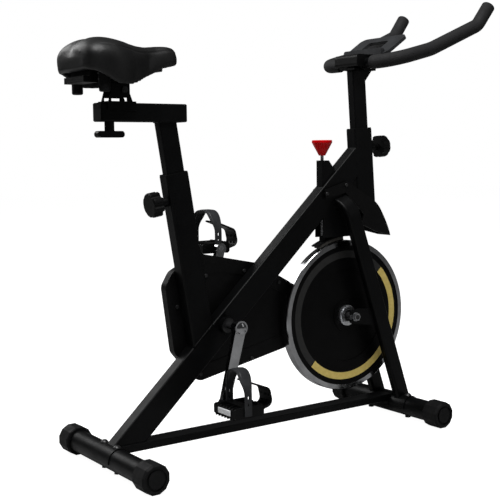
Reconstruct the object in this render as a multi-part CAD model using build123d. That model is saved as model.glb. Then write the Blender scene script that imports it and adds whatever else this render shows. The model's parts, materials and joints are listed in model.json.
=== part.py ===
"""Indoor spin bike, in millimetres: +X forward, +Y to the rider's left, +Z up.

The origin is on the floor, on the bike's middle plane, halfway between saddle tail and bar tips.
"""

from build123d import *

import math
import os

# ---- Driving dimensions ----
REAR_X = -481.0          # rear stabilizer axis
FRONT_X = 348.5          # front stabilizer axis
FOOT_Z = 32.5            # height of both stabilizer axes, and half the foot caps' width
STAB_R = 25.4            # stabilizer tube radius
STAB_HALF = 201.0        # half the overall foot width
CAP_LENGTH = 46.0
SADDLE_PLATE = 2.0       # thickness of the plates wrapped over the stabilizers
REAR_BOLT_Y, FRONT_BOLT_Y = 29.0, 71.0
BOLT_R = 4.0

TUBE_H = 58.0            # main tube section, in the middle plane
TUBE_W = 34.0            # main tube section, across the bike
TUBE_WALL = 2.0
TUBE_CORNER = 4.0

CRANK_X, CRANK_Z = -183.0, 296.0
BEAM_ANGLE = 42.7        # slope of the diagonal beam
BEAM_TOP_X = 248.0       # where the beam's centreline ends, inside the head tube

SEAT_TOP = (-307.0, 648.0)
SEAT_LEAN = 9.4          # degrees back from vertical
HEAD_TOP = (241.9, 750.0)
HEAD_LEAN = 4.0
HEAD_BOTTOM_Z = 539.0

SEAT_POST_H, SEAT_POST_W = 45.0, 24.0
BAR_POST_H, BAR_POST_W = 42.0, 24.0
POST_GAP = 0.3           # slide clearance between a post and its sleeve
SEAT_POST_INSERT = 175.0
BAR_POST_INSERT = 110.0

RAIL_W, RAIL_H, RAIL_Z = 44.0, 18.0, 48.0

SLIDER = 40.0            # square seat slider tube
SLIDER_X0, SLIDER_X1 = -491.0, -283.0
SLIDER_Z = 783.0

WHEEL_X, WHEEL_Z = 190.0, 280.0
WHEEL_R = 191.0
RIM_HALF_W = 12.0
RIM_DEPTH = 13.0
AXLE_R = 6.0

LEG_H, LEG_W = 40.0, 22.0
LEG_Y = 47.0
LEG_FOOT = (350.0, 48.0)
LEG_TOP = (196.0, 487.0)
CROWN_Z = 574.0
CROWN_BEND = 42.0

BRACKET_Y = 42.0         # inner face of the axle brackets
BRACKET_THICK = 4.0

SEAT_KNOB_DROP = 57.0    # knob axis below its tube's top
HEAD_KNOB_DROP = 48.0
BOSS_LENGTH, BOSS_R = 14.0, 11.0
PIN_R = 5.0
PIN_GAP = 0.4            # the pin stops this far short of the post
KNOB_R, KNOB_DEPTH = 28.0, 24.0
SEAT_KNOB_NECK, HEAD_KNOB_NECK = 8.5, 16.0

CRANK_LENGTH = 175.0
CRANK_ANGLE = 15.0       # the right crank hangs this far back from straight down
CRANK_Y0, CRANK_Y1 = 66.0, 80.0
SPINDLE_R = 8.5
DRIVE_R, DRIVEN_R = 98.0, 30.0
BELT_Y0, BELT_Y1 = 24.0, 35.0
BELT_THICK = 3.0

GUARD_Y = 17.5           # inner face of the belt guard
GUARD_STEP_X = 60.0      # forward of this the guard is thinner, to pass inside the leg
GUARD_OUT, GUARD_THIN = 46.0, 41.0
GUARD_RIM, GUARD_RIM_Y = 20.0, 7.5   # width and depth of the sloped edge of the guard's deep part
GUARD_WALL = 2.5
GUARD_CORNER, GUARD_NOSE_CORNER = 24.0, 10.0
GUARD_SCREWS = ((-215, 411), (-106, 414), (-294, 345), (-3, 378), (-233, 180), (-87, 200))

SWEAT_Y = 24.0           # outer faces of the sweat guard
SWEAT_THICK = 3.0
SWEAT_ROOF_X = 288.0     # the guard is closed over its front from here
SWEAT_SCREWS = ((117, 591), (179, 611))

PEDAL_Y = 131.0          # middle of a pedal
PEDAL_HALF_W = 42.0
PEDAL_LENGTH = 78.0
PEDAL_THICK = 24.0
STRAP_RISE, STRAP_W = 90.0, 28.0

BRAKE_X = 121.0
BRAKE_TOP_Z = 673.0
ROD_R = 4.0
PAD_GAP = 4.0            # between the felt and the rim, brake off
SPRING_Z0, SPRING_Z1 = 628.0, 661.0

BAR_X, BAR_Z = 234.0, 913.5
BAR_R = 12.7
GRIP_R = 17.0
GRIP_START_Y = 62.0
BAR_RISE = 149.0         # length of the handlebar post above the head tube
HORN_PATH = ((BAR_X, -137.5, BAR_Z), (351.5, -143.5, 944), (507, -152, 1010), (543, -154.5, 1057))

SADDLE_TAIL_X, SADDLE_NOSE_X = -558.0, -297.0
TILT_X, TILT_Z = -436.5, 830.7
SADDLE_RAIL_Z = TILT_Z + 27
KNOB_X = -464.5          # axis of the slider's clamp knob

RUN = 0.05               # radial clearance of a running fit
FIT = 0.02               # radial clearance between fixed round parts


# ---- Helpers ----
def block(x0, x1, y0, y1, z0, z1):
    """Box between two corners."""
    return Pos((x0 + x1) / 2, (y0 + y1) / 2, (z0 + z1) / 2) * Box(x1 - x0, y1 - y0, z1 - z0)


def rod(start, end, radius):
    """Cylinder from one point to another."""
    line = Vector(*end) - Vector(*start)
    return extrude(Plane(origin=start, z_dir=line) * Circle(radius), amount=line.length)


def cross_rod(x, z, y0, y1, radius):
    """Cylinder along Y."""
    return rod((x, y0, z), (x, y1, z), radius)


def ring(x, z, y0, y1, outer, inner):
    """Tube along Y."""
    return cross_rod(x, z, y0, y1, outer) - cross_rod(x, z, y0 - 1, y1 + 1, inner)


def bar(start, end, height, width, corner=TUBE_CORNER):
    """Solid rounded bar whose centreline lies in the middle plane, from (x, z) to (x, z)."""
    origin = Vector(start[0], 0, start[1])
    line = Vector(end[0], 0, end[1]) - origin
    section = Plane(origin=origin, x_dir=(0, 1, 0), z_dir=line) * RectangleRounded(width, height, corner)
    return extrude(section, amount=line.length)


def box_tube(start, end, height, width, wall=TUBE_WALL):
    """Hollow rounded rectangular tube."""
    inner = bar(start, end, height - 2 * wall, width - 2 * wall, TUBE_CORNER - wall + 0.5)
    return bar(start, end, height, width) - inner


def profile(points, y0, y1, radius=0):
    """Outline given as (x, z) points, extruded from y0 to y1, with rounded corners."""
    face = make_face(Polyline(*[(x, 0, z) for x, z in points], close=True))
    if radius:
        face = fillet(face.vertices(), radius)
    return Pos(0, y0, 0) * extrude(face, amount=y1 - y0, dir=(0, 1, 0))


def hexagon(x, z, y0, y1, across):
    """Hexagonal nut or bolt head along Y."""
    section = Plane(origin=(x, y0, z), x_dir=(1, 0, 0), z_dir=(0, 1, 0)) * RegularPolygon(across / 2, 6, False)
    return extrude(section, amount=y1 - y0)


def mirrored(shape):
    """The same piece on the other side of the middle plane."""
    return mirror(shape, about=Plane.XZ)


def both_sides(shape):
    return shape + mirrored(shape)


def along(point, lean, distance, sideways=0.0):
    """Point up a leaning tube's axis, and forward of it by sideways."""
    a = math.radians(lean)
    x = point[0] - math.sin(a) * distance + math.cos(a) * sideways
    z = point[1] + math.cos(a) * distance + math.sin(a) * sideways
    return (x, z)


def beam_point(x, offset=0.0):
    """Point of the beam's centreline at x, moved by offset square to the beam."""
    a = math.radians(BEAM_ANGLE)
    z = CRANK_Z + (x - CRANK_X) * math.tan(a)
    return (x - math.sin(a) * offset, z + math.cos(a) * offset)


def crank_end(side):
    """Pedal axis at rest: side is -1 on the right, which hangs down, and +1 on the left."""
    a = math.radians(CRANK_ANGLE)
    return (CRANK_X + side * CRANK_LENGTH * math.sin(a), CRANK_Z + side * CRANK_LENGTH * math.cos(a))


def save(name, shape):
    os.makedirs("parts", exist_ok=True)
    export_step(Part(children=list(shape.solids())), f"parts/{name}.step")


# ---- Frame tubes ----
def beam_envelope():
    return bar(beam_point(REAR_X - 60), beam_point(BEAM_TOP_X), TUBE_H, TUBE_W)


def head_envelope():
    length = (HEAD_TOP[1] - HEAD_BOTTOM_Z) / math.cos(math.radians(HEAD_LEAN))
    return bar(HEAD_TOP, along(HEAD_TOP, HEAD_LEAN, -length), TUBE_H, TUBE_W)


def saddle_cut(x):
    return cross_rod(x, FOOT_Z, -STAB_HALF, STAB_HALF, STAB_R + SADDLE_PLATE + 2 * FIT)


def diagonal_beam():
    tube = box_tube(beam_point(REAR_X - 60), beam_point(BEAM_TOP_X), TUBE_H, TUBE_W)
    tube -= block(REAR_X - 200, CRANK_X, -50, 50, -400, RAIL_Z + RAIL_H / 2)
    tube -= block(REAR_X - 200, REAR_X - 6, -50, 50, -400, 200)
    tube -= saddle_cut(REAR_X)
    tube -= head_envelope()
    tube -= cross_rod(CRANK_X, CRANK_Z, -40, 40, 21 + FIT)
    tube -= rod((BRAKE_X, 0, 400), (BRAKE_X, 0, 700), ROD_R + 1)
    return tube


def seat_tube():
    bottom = along(SEAT_TOP, SEAT_LEAN, -420)
    tube = box_tube(bottom, SEAT_TOP, TUBE_H, TUBE_W)
    half = 400.0
    tube -= bar(beam_point(REAR_X, TUBE_H / 2 - half), beam_point(100, TUBE_H / 2 - half), 2 * half, 80)
    knob = along(SEAT_TOP, SEAT_LEAN, -SEAT_KNOB_DROP)
    rear = along(knob, SEAT_LEAN, 0, -TUBE_H / 2)
    boss_end = along(knob, SEAT_LEAN, 0, -TUBE_H / 2 - BOSS_LENGTH)
    tube += rod((rear[0], 0, rear[1]), (boss_end[0], 0, boss_end[1]), BOSS_R)
    return tube - rod((knob[0], 0, knob[1]), (boss_end[0], 0, boss_end[1]), PIN_R + RUN)


def head_tube():
    length = (HEAD_TOP[1] - HEAD_BOTTOM_Z) / math.cos(math.radians(HEAD_LEAN))
    tube = box_tube(along(HEAD_TOP, HEAD_LEAN, -length), HEAD_TOP, TUBE_H, TUBE_W)
    knob = along(HEAD_TOP, HEAD_LEAN, -HEAD_KNOB_DROP)
    front = along(knob, HEAD_LEAN, 0, TUBE_H / 2)
    boss_end = along(knob, HEAD_LEAN, 0, TUBE_H / 2 + BOSS_LENGTH)
    tube += rod((front[0], 0, front[1]), (boss_end[0], 0, boss_end[1]), BOSS_R)
    return tube - rod((knob[0], 0, knob[1]), (boss_end[0], 0, boss_end[1]), PIN_R + RUN)


def bottom_rail():
    z0, z1 = RAIL_Z - RAIL_H / 2, RAIL_Z + RAIL_H / 2
    rail = block(REAR_X, FRONT_X, -RAIL_W / 2, RAIL_W / 2, z0, z1)
    rail = fillet(rail.edges().filter_by(Axis.X), 3)
    rail -= block(REAR_X - 1, FRONT_X + 1, 2 - RAIL_W / 2, RAIL_W / 2 - 2, z0 + 2, z1 - 2)
    return rail - saddle_cut(REAR_X) - saddle_cut(FRONT_X)


def leg_direction():
    return (Vector(LEG_TOP[0], 0, LEG_TOP[1]) - Vector(LEG_FOOT[0], 0, LEG_FOOT[1])).normalized()


def leg_bar(height, width, corner):
    """Solid bar along the right leg."""
    start = Vector(LEG_FOOT[0], -LEG_Y, LEG_FOOT[1]) - leg_direction() * 30
    end = Vector(LEG_TOP[0], -LEG_Y, LEG_TOP[1])
    plane = Plane(origin=start, x_dir=(0, 1, 0), z_dir=leg_direction())
    return extrude(plane * RectangleRounded(width, height, corner), amount=(end - start).length)


def leg_right():
    outer = leg_bar(LEG_H, LEG_W, 6)
    inner = leg_bar(LEG_H - 4, LEG_W - 4, 4)
    return outer - inner - block(0, 500, -100, 0, -50, FOOT_Z + 11) - saddle_cut(FRONT_X)


def fork_crown():
    """Bent tube that joins both legs over the wheel, welded under the beam."""
    up = leg_direction()
    rise = (CROWN_Z - LEG_TOP[1]) / up.Z
    right = Vector(LEG_TOP[0], -LEG_Y, LEG_TOP[1])
    corner = right + up * rise
    left_corner = Vector(corner.X, LEG_Y, corner.Z)
    left = Vector(LEG_TOP[0], LEG_Y, LEG_TOP[1])
    path = FilletPolyline(right, corner, left_corner, left, radius=CROWN_BEND)
    plane = Plane(origin=right, x_dir=(0, 1, 0), z_dir=up)
    outer = sweep(plane * RectangleRounded(LEG_W, LEG_H, 6), path=path)
    inner = sweep(plane * RectangleRounded(LEG_W - 4, LEG_H - 4, 4), path=path)
    solid = sweep(plane * RectangleRounded(LEG_W, LEG_H, 6), path=path)
    return outer - inner - beam_envelope() + gusset(solid)


def gusset(crown):
    """Plates between the crown, the beam and the head tube, and guides on both sides of the brake."""
    low = beam_point(215, -TUBE_H / 2)
    plate = profile([(170, 560), (170, 592), low, (270, 640), (270, 556)], -14, -10)
    plate += profile([(111.5, 482), (111.5, 545), (205, 630), (205, 482)], -TUBE_W / 2, -14)
    return both_sides(plate - beam_envelope() - head_envelope() - crown)


def axle_brackets():
    """Drop-out plates welded to the rear of the legs, which carry the wheel axle."""
    plate = profile(
        [(WHEEL_X - 17, WHEEL_Z - 15), (WHEEL_X + 10, WHEEL_Z - 20), (WHEEL_X + 98, WHEEL_Z - 32),
         (WHEEL_X + 83, WHEEL_Z + 12), (WHEEL_X + 10, WHEEL_Z + 20), (WHEEL_X - 17, WHEEL_Z + 15)],
        -BRACKET_Y - BRACKET_THICK, -BRACKET_Y, 6) - leg_bar(LEG_H, LEG_W, 6)
    slot = block(WHEEL_X - 40, WHEEL_X, -60, 0, WHEEL_Z - AXLE_R - FIT, WHEEL_Z + AXLE_R + FIT)
    slot += cross_rod(WHEEL_X, WHEEL_Z, -60, 0, AXLE_R + FIT)
    return both_sides(plate - slot)


def bolt_holes():
    """Holes for the stabilizer bolts."""
    rear = rod((REAR_X, -REAR_BOLT_Y, 0), (REAR_X, -REAR_BOLT_Y, 70), BOLT_R + FIT)
    front = rod((FRONT_X, -FRONT_BOLT_Y, 0), (FRONT_X, -FRONT_BOLT_Y, 70), BOLT_R + FIT)
    return both_sides(rear) + both_sides(front)


def stabilizer(x):
    return ring(x, FOOT_Z, -STAB_HALF + 20, STAB_HALF - 20, STAB_R, STAB_R - 2.5)


def stabilizers():
    return stabilizer(REAR_X) + stabilizer(FRONT_X) - bolt_holes()


def stabilizer_saddles():
    """Half-round plates between the stabilizers and what stands on them."""
    plates = []
    for x, y0, y1 in ((REAR_X, -39, 39), (FRONT_X, -24, 24), (FRONT_X, -FRONT_BOLT_Y - 11, -LEG_Y + 14),
                      (FRONT_X, LEG_Y - 14, FRONT_BOLT_Y + 11)):
        plate = ring(x, FOOT_Z, y0, y1, STAB_R + SADDLE_PLATE + FIT, STAB_R + FIT)
        plates.append(plate - block(x - 50, x + 50, y0 - 1, y1 + 1, -20, FOOT_Z - 4))
    return plates[0] + plates[1] + plates[2] + plates[3] - bolt_holes()


def foot_cap(x, side):
    """Twelve-sided end cap, which stands on one of its flats."""
    y0, y1 = STAB_HALF - CAP_LENGTH, STAB_HALF
    plane = Plane(origin=(x, y0, FOOT_Z), x_dir=(1, 0, 0), z_dir=(0, 1, 0))
    cap = extrude(plane * RegularPolygon(FOOT_Z, 12, False, rotation=15), amount=y1 - y0)
    cap = chamfer(cap.faces().sort_by(Axis.Y)[-1].edges(), 4)
    cap = chamfer(cap.faces().sort_by(Axis.Y)[0].edges(), 2)
    cap -= cross_rod(x, FOOT_Z, y0 - 1, STAB_HALF - 20, STAB_R + FIT)
    cap -= ring(x, FOOT_Z, y1 - 3, y1 + 1, 24, 19)
    return cap if side > 0 else mirrored(cap)


def foot_caps():
    caps = [foot_cap(x, side) for x in (REAR_X, FRONT_X) for side in (-1, 1)]
    return caps[0] + caps[1] + caps[2] + caps[3]


def stabilizer_bolt(x, y):
    """Carriage bolt up through the stabilizer, with its nut and washer below the tube."""
    plate_top = FOOT_Z + STAB_R + SADDLE_PLATE
    bolt = rod((x, y, FOOT_Z - STAB_R - 5), (x, y, plate_top + 1), BOLT_R)
    head = Pos(x, y, plate_top - 4) * Sphere(10)
    head &= block(x - 10, x + 10, y - 10, y + 10, plate_top + 2 * FIT, 90)
    nut = Pos(x, y, FOOT_Z - STAB_R - 5) * extrude(RegularPolygon(6.5, 6, False), amount=4.6)
    return bolt + head + nut


def stabilizer_bolts():
    rear = both_sides(stabilizer_bolt(REAR_X, -REAR_BOLT_Y))
    return rear + both_sides(stabilizer_bolt(FRONT_X, -FRONT_BOLT_Y))


# ---- Knobs ----
def knob_body(plane):
    """Fluted grip with a domed face, turned about the plane's normal."""
    body = extrude(plane * Circle(KNOB_R), amount=KNOB_DEPTH)
    body = fillet(body.edges().sort_by(lambda e: (e.center() - plane.origin).dot(plane.z_dir))[-1], 5)
    for i in range(8):
        a = math.radians(45 * i)
        at = plane.offset(-1) * Pos(KNOB_R * 1.12 * math.cos(a), KNOB_R * 1.12 * math.sin(a), 0)
        body -= extrude(at * Circle(7.2), amount=KNOB_DEPTH + 2)
    return body


def pin_knob(top, lean, drop, sense, post_height, neck):
    """Sprung pull knob: its pin reaches the post through the boss on the tube."""
    knob = along(top, lean, -drop)
    face = along(knob, lean, 0, sense * (TUBE_H / 2 + BOSS_LENGTH + neck))
    a = math.radians(lean)
    normal = Vector(sense * math.cos(a), 0, sense * math.sin(a))
    plane = Plane(origin=(face[0], 0, face[1]), x_dir=(0, 1, 0), z_dir=normal)
    tip = along(knob, lean, 0, sense * (post_height / 2 + PIN_GAP))
    pin = rod((tip[0], 0, tip[1]), (face[0] + normal.X, 0, face[1] + normal.Z), PIN_R)
    collar = extrude(plane.offset(-neck + 1) * Circle(8.5), amount=neck)
    return knob_body(plane) + collar + pin


# ---- Wheel ----
def flywheel_rim():
    rim = ring(WHEEL_X, WHEEL_Z, -RIM_HALF_W, RIM_HALF_W, WHEEL_R, WHEEL_R - RIM_DEPTH)
    return chamfer(rim.edges().filter_by(GeomType.CIRCLE).sort_by(SortBy.RADIUS)[-2:], 1.5)


def flywheel_disc():
    disc = ring(WHEEL_X, WHEEL_Z, -10, 10, WHEEL_R - RIM_DEPTH - FIT, 22)
    for side in (-1, 1):
        y0, y1 = sorted((side * 8, side * 12))
        disc -= ring(WHEEL_X, WHEEL_Z, y0, y1, 118, 40)
    return disc


def flywheel_hub():
    hub = cross_rod(WHEEL_X, WHEEL_Z, -19, 22, 22 - FIT)
    hub += cross_rod(WHEEL_X, WHEEL_Z, -16, -10 - FIT, 26)
    hub += cross_rod(WHEEL_X, WHEEL_Z, 10 + FIT, 14, 26)
    hub -= cross_rod(WHEEL_X, WHEEL_Z, -30, 30, 9)
    hub -= cross_rod(WHEEL_X, WHEEL_Z, -30, -9, 14 + RUN)
    return hub - cross_rod(WHEEL_X, WHEEL_Z, 12, 40, 14 + RUN)


def bearing(x, z, y0, y1, outer, inner):
    """Sealed ball bearing, with its seal grooves."""
    race = ring(x, z, y0, y1, outer, inner)
    mid = (outer + inner) / 2
    for ya, yb in ((y0 - 1, y0 + 0.6), (y1 - 0.6, y1 + 1)):
        race -= ring(x, z, ya, yb, mid + 2, mid - 2)
    return race


def sealed_bearings():
    hub = [bearing(WHEEL_X, WHEEL_Z, y0, y0 + 8, 14, AXLE_R + FIT) for y0 in (-18, 13)]
    crank = [bearing(CRANK_X, CRANK_Z, y0, y0 + 9, 17.5, SPINDLE_R + RUN) for y0 in (-27, 9)]
    return hub[0] + hub[1] + crank[0] + crank[1]


def driven_pulley():
    pulley = ring(WHEEL_X, WHEEL_Z, BELT_Y0 - 2, BELT_Y1 + 2, DRIVEN_R + 2.5, 12)
    pulley -= ring(WHEEL_X, WHEEL_Z, BELT_Y0 - 0.5, BELT_Y1 + 0.5, DRIVEN_R + 5, DRIVEN_R)
    return pulley


def flywheel_axle():
    """Axle with the spacers that hold the bearings away from the brackets."""
    axle = cross_rod(WHEEL_X, WHEEL_Z, -55, 55, AXLE_R)
    axle += cross_rod(WHEEL_X, WHEEL_Z, -BRACKET_Y + 6 + FIT, -18 - FIT, 8.5)
    return axle + cross_rod(WHEEL_X, WHEEL_Z, 21 + FIT, BRACKET_Y - FIT, 8.5)


def axle_nuts():
    """Nuts and washers on both ends of the axle."""
    outside = BRACKET_Y + BRACKET_THICK
    washer = cross_rod(WHEEL_X, WHEEL_Z, outside + FIT, outside + 1, 11)
    nut = hexagon(WHEEL_X, WHEEL_Z, outside + 1 + FIT, outside + 8, 17)
    right_lock = hexagon(WHEEL_X, WHEEL_Z, -BRACKET_Y + FIT, -BRACKET_Y + 6, 17)
    bore = cross_rod(WHEEL_X, WHEEL_Z, -80, 80, AXLE_R + FIT)
    return both_sides(washer + nut) + right_lock - bore


# ---- Crank drive ----
def bottom_bracket_shell():
    shell = ring(CRANK_X, CRANK_Z, -28, 19, 21, 17.5 + FIT)
    return shell + rod((CRANK_X, -TUBE_W / 2 - 6, CRANK_Z + 24), (CRANK_X, -TUBE_W / 2, CRANK_Z + 24), 5)


def crank_spindle():
    return cross_rod(CRANK_X, CRANK_Z, -CRANK_Y1 + 2, CRANK_Y1 - 2, SPINDLE_R)


def crank_arm(side):
    """Forged arm with a boss on the spindle and an eye for the pedal."""
    end = crank_end(side)
    y0, y1 = (CRANK_Y0, CRANK_Y1) if side > 0 else (-CRANK_Y1, -CRANK_Y0)
    boss = cross_rod(CRANK_X, CRANK_Z, y0 - (6 if side > 0 else 0), y1 + (0 if side > 0 else 6), 17)
    eye = cross_rod(end[0], end[1], y0, y1, 13.5)
    a = math.atan2(end[1] - CRANK_Z, end[0] - CRANK_X)
    nx, nz = -math.sin(a), math.cos(a)
    web = profile(
        [(CRANK_X + 14 * nx, CRANK_Z + 14 * nz), (CRANK_X - 14 * nx, CRANK_Z - 14 * nz),
         (end[0] - 11 * nx, end[1] - 11 * nz), (end[0] + 11 * nx, end[1] + 11 * nz)], y0 + 1, y1 - 1)
    arm = boss + eye + web
    arm -= cross_rod(CRANK_X, CRANK_Z, -100, 100, SPINDLE_R + FIT)
    return arm - cross_rod(end[0], end[1], -100, 100, 7)


def crank_bolts():
    """Domed dust caps over the spindle's ends."""
    dome = Pos(CRANK_X, CRANK_Y1 - 18, CRANK_Z) * Sphere(22.5)
    dome &= block(CRANK_X - 30, CRANK_X + 30, CRANK_Y1 + FIT, CRANK_Y1 + 10, CRANK_Z - 30, CRANK_Z + 30)
    return both_sides(dome + cross_rod(CRANK_X, CRANK_Z, CRANK_Y1 - 2 + FIT, CRANK_Y1 + 1, SPINDLE_R - 0.5))


def drive_pulley():
    pulley = ring(CRANK_X, CRANK_Z, BELT_Y0 - 2, BELT_Y1 + 2, DRIVE_R + 2, DRIVE_R - 8)
    pulley -= ring(CRANK_X, CRANK_Z, BELT_Y0 - 0.5, BELT_Y1 + 0.5, DRIVE_R + 5, DRIVE_R)
    pulley += ring(CRANK_X, CRANK_Z, 27, 32, DRIVE_R - 7, 15)
    pulley += ring(CRANK_X, CRANK_Z, 23, 40, 22, SPINDLE_R + FIT)
    for i in range(6):
        a = math.radians(60 * i)
        pulley -= cross_rod(CRANK_X + 64 * math.cos(a), CRANK_Z + 64 * math.sin(a), 0, 60, 20)
    return pulley


def belt_loop(thickness_out, thickness_in):
    """Filled loop round both pulleys, at a distance from their rims."""
    big, small = DRIVE_R + thickness_in + thickness_out, DRIVEN_R + thickness_in + thickness_out
    dx, dz = WHEEL_X - CRANK_X, WHEEL_Z - CRANK_Z
    gap = math.hypot(dx, dz)
    tilt, spread = math.atan2(dz, dx), math.acos((big - small) / gap)
    points = []
    for sign, radius, x, z in ((1, big, CRANK_X, CRANK_Z), (1, small, WHEEL_X, WHEEL_Z),
                               (-1, small, WHEEL_X, WHEEL_Z), (-1, big, CRANK_X, CRANK_Z)):
        a = tilt + sign * spread
        points.append((x + radius * math.cos(a), z + radius * math.sin(a)))
    loop = profile(points, BELT_Y0, BELT_Y1)
    loop += cross_rod(CRANK_X, CRANK_Z, BELT_Y0, BELT_Y1, big)
    return loop + cross_rod(WHEEL_X, WHEEL_Z, BELT_Y0, BELT_Y1, small)


def drive_belt():
    return belt_loop(BELT_THICK, 0.3) - belt_loop(0, 0.3)


# ---- Belt guard ----
def guard_outline(inset=0.0):
    """Outline of the belt guard, a wedge that narrows towards the wheel's axle."""
    points = [(-324.5, 393), (-305, 425), (-229, 463), (-68, 430), (30.5, 376), (216, 317),
              (228, 292), (226, 255), (205, 243), (21, 215), (-240, 163), (-304, 239)]
    face = make_face(Polyline(*[(x, 0, z) for x, z in points], close=True))
    face = fillet(face.vertices().filter_by_position(Axis.X, GUARD_STEP_X, 400), GUARD_NOSE_CORNER)
    face = fillet(face.vertices().filter_by_position(Axis.X, -400, GUARD_STEP_X - 1), GUARD_CORNER)
    return offset(face, -inset, kind=Kind.INTERSECTION) if inset else face


def guard_slab(y0, y1, inset=0.0):
    return Pos(0, y0, 0) * extrude(guard_outline(inset), amount=y1 - y0, dir=(0, 1, 0))


def guard_holes():
    holes = [cross_rod(x, z, 0, 80, 2.2) for x, z in GUARD_SCREWS]
    total = holes[0]
    for hole in holes[1:]:
        total += hole
    return total


def belt_guard_inner():
    """Flat cover beside the frame, with a raised border round a sunk panel."""
    plate = guard_slab(GUARD_Y, GUARD_Y + 4)
    plate -= guard_slab(GUARD_Y - 1, GUARD_Y + 1.5, 34) & block(-400, 0, 0, 100, 0, 415)
    plate -= cross_rod(CRANK_X, CRANK_Z, 0, 60, 21 + FIT)
    plate -= cross_rod(WHEEL_X, WHEEL_Z, 0, 60, 28)
    return plate - guard_holes()


def guard_deep(y0, y1, inset, front_x):
    """Deep part of the guard, behind front_x, with a sloped outer edge."""
    deep = guard_slab(y0, y1, inset) & block(-400, front_x, 0, 100, 0, 600)
    outer = deep.faces().sort_by(Axis.Y)[-1]
    rim = outer.edges().filter_by(lambda e: e.center().X < front_x - 1)
    return chamfer(rim, GUARD_RIM, GUARD_RIM_Y, reference=outer)


def belt_guard_outer():
    """Deep shell on the belt's outer side."""
    wall = GUARD_WALL
    front = guard_slab(GUARD_Y + 4, GUARD_THIN) & block(GUARD_STEP_X, 300, 0, 100, 0, 600)
    skin = front + guard_deep(GUARD_Y + 4, GUARD_OUT, 0, GUARD_STEP_X)
    shell = skin - guard_slab(GUARD_Y + 3, GUARD_OUT - GUARD_RIM_Y - wall, wall)
    shell -= guard_deep(GUARD_Y + 3, GUARD_OUT - wall, wall, GUARD_STEP_X - wall)
    shell -= guard_slab(GUARD_Y + 3, GUARD_THIN - wall, wall) & block(GUARD_STEP_X - wall, 300, 0, 100, 0, 600)
    for x, z in GUARD_SCREWS:
        shell += cross_rod(x, z, GUARD_Y + 4, GUARD_OUT - 1, 4.5) & skin - cross_rod(x, z, GUARD_Y, 30, 2.2)
    shell -= cross_rod(CRANK_X, CRANK_Z, 30, 80, 20)
    shell -= cross_rod(WHEEL_X, WHEEL_Z, 30, 80, 12)
    return shell


def guard_screws():
    """Pan-head screws through the inner cover."""
    screws = []
    for x, z in GUARD_SCREWS:
        screw = cross_rod(x, z, GUARD_Y - 1, 28, 2)
        head = Pos(x, GUARD_Y, z) * Sphere(4.6) & block(x - 5, x + 5, GUARD_Y - 2.6, GUARD_Y - FIT, z - 5, z + 5)
        screws.append(screw + head)
    for x, z in SWEAT_SCREWS:
        screw = cross_rod(x, z, -SWEAT_Y - 1, -TUBE_W / 2 - FIT, 2)
        seat = block(x - 5, x + 5, -SWEAT_Y - 2.6, -SWEAT_Y - FIT, z - 5, z + 5)
        head = Pos(x, -SWEAT_Y, z) * Sphere(4.6) & seat
        screws.append(both_sides(screw + head))
    total = screws[0]
    for screw in screws[1:]:
        total += screw
    return total


# ---- Sweat guard ----
def sweat_face(drop=0.0):
    """Outline of the sweat guard seen from the side; drop lowers its front curve."""
    top = Polyline((111, 601 - drop), (183, 621 - drop), (271, 570 - drop))
    nose = Spline((271, 570 - drop), (302, 535 - drop), (329 - drop, 477), tangents=((88, -51), (18, -60)))
    low = Polyline((329 - drop, 477), (282, 489), (233, 509), (237, 537), (177, 592), (113, 579), (111, 601 - drop))
    return make_face(Plane.XZ * Curve(top.edges() + nose.edges() + low.edges()))


def sweat_slab(y0, y1, drop=0.0):
    return Pos(0, y0, 0) * extrude(sweat_face(drop), amount=y1 - y0, dir=(0, 1, 0))


def sweat_guard():
    """Plastic shell round the head tube's foot, over the front of the wheel."""
    side = sweat_slab(-SWEAT_Y, -SWEAT_Y + SWEAT_THICK)
    for x, z in SWEAT_SCREWS:
        side -= cross_rod(x, z, -30, 0, 2.2)
        boss = ring(x, z, -SWEAT_Y + SWEAT_THICK, -TUBE_W / 2 - FIT, 5, 2.2)
        side += boss
    front = block(SWEAT_ROOF_X, 400, -SWEAT_Y + SWEAT_THICK, SWEAT_Y - SWEAT_THICK, 400, 700)
    roof = sweat_slab(-SWEAT_Y + SWEAT_THICK, SWEAT_Y - SWEAT_THICK) & front
    roof -= sweat_slab(-SWEAT_Y, SWEAT_Y, SWEAT_THICK + 1)
    return side + mirrored(side) + (roof - block(SWEAT_ROOF_X, 325, -40, 40, 470, 500))


# ---- Brake ----
def brake_tube():
    """Folded sheet housing on the beam that guides the brake rod."""
    x0, x1 = BRAKE_X - 9.5, BRAKE_X + 13.5
    outline = [(x0, 560), (x0, BRAKE_TOP_Z), (x1, BRAKE_TOP_Z), (x1 + 22, BRAKE_TOP_Z - 28), (x1 + 22, 560)]
    tube = profile(outline, -10.5, 10.5)
    cavity = [(x0 + 2, 540), (x0 + 2, BRAKE_TOP_Z - 3), (x1 - 1, BRAKE_TOP_Z - 3), (x1 + 19, BRAKE_TOP_Z - 29),
              (x1 + 19, 540)]
    tube -= profile(cavity, -8.5, 8.5)
    tube += block(x0 + 1, x1 + 10, -9.5, 9.5, SPRING_Z0 - 2.5, SPRING_Z0)
    tube -= rod((BRAKE_X, 0, 540), (BRAKE_X, 0, 700), ROD_R + RUN)
    half = 400.0
    return tube - bar(beam_point(REAR_X, TUBE_H / 2 - half), beam_point(300, TUBE_H / 2 - half), 2 * half, 80)


def brake_rod():
    """Threaded rod with the collar that the return spring pushes up."""
    foot = WHEEL_Z + math.sqrt((WHEEL_R + PAD_GAP + 11) ** 2 - (WHEEL_X - BRAKE_X) ** 2)
    body = rod((BRAKE_X, 0, foot + 3.2), (BRAKE_X, 0, 689), ROD_R)
    return body + rod((BRAKE_X, 0, SPRING_Z1 + 0.1), (BRAKE_X, 0, SPRING_Z1 + 3), 7)


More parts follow.
